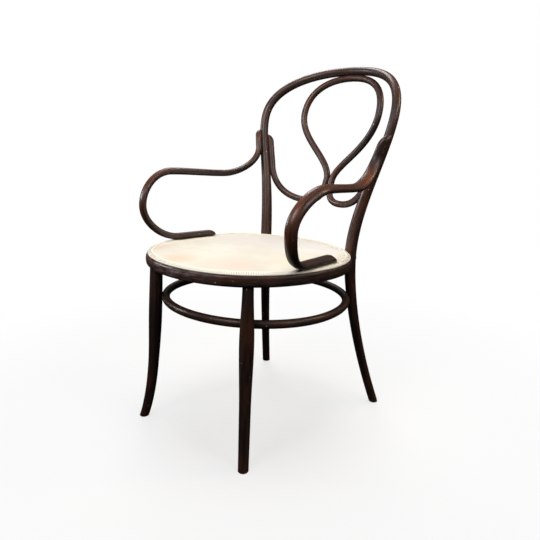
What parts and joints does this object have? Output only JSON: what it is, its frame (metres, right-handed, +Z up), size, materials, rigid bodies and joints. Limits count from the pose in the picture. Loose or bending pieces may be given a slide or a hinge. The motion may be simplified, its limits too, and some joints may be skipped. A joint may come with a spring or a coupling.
{
  "type": "bentwood armchair",
  "caption": "Bentwood armchair: hooped back holding a teardrop loop, curved open arms, round seat with a sewn leather cover, turned front legs and a ring stretcher.",
  "frame": {"origin": "on the floor, under the middle of the chair's box", "axes": "+Z up, -Y the way the sitter faces, +X to the viewer's right when the chair is seen from the front"},
  "size_m": [0.5748, 0.6982, 0.9409],
  "materials": {
    "dark_stained_beech": "dark brown stain under semi-gloss polish, worn in places",
    "cream_leather": "smooth cream leather with faint stains, matt to satin",
    "pad_stuffing": "felted stuffing, hidden",
    "plywood": "bare, hidden from above",
    "steel": "plain steel, dulled"
  },
  "bodies": {
    "root": {"back_bow": "dark_stained_beech", "inner_back_loop": "dark_stained_beech", "arm_left": "dark_stained_beech", "arm_right": "dark_stained_beech", "seat_hoop": "dark_stained_beech", "front_leg_left": "dark_stained_beech", "front_leg_right": "dark_stained_beech", "stretcher_hoop": "dark_stained_beech", "seat_board": "plywood", "seat_padding": "pad_stuffing", "seat_cover": "cream_leather", "seat_border": "cream_leather", "post_bolt_left": "steel", "post_bolt_right": "steel", "post_washer_left": "steel", "post_washer_right": "steel", "post_nut_left": "steel", "post_nut_right": "steel", "arm_post_screw_upper_left": "steel", "arm_post_screw_upper_right": "steel", "arm_post_screw_lower_left": "steel", "arm_post_screw_lower_right": "steel", "arm_seat_screw_front_left": "steel", "arm_seat_screw_front_right": "steel", "arm_seat_screw_rear_left": "steel", "arm_seat_screw_rear_right": "steel", "loop_post_screw_upper_left": "steel", "loop_post_screw_upper_right": "steel", "loop_post_screw_lower_left": "steel", "loop_post_screw_lower_right": "steel", "stretcher_screw_front_left": "steel", "stretcher_screw_front_right": "steel", "stretcher_screw_rear_left": "steel", "stretcher_screw_rear_right": "steel", "loop_crown_screw_left": "steel", "loop_crown_screw_right": "steel"}
  },
  "joints": []
}
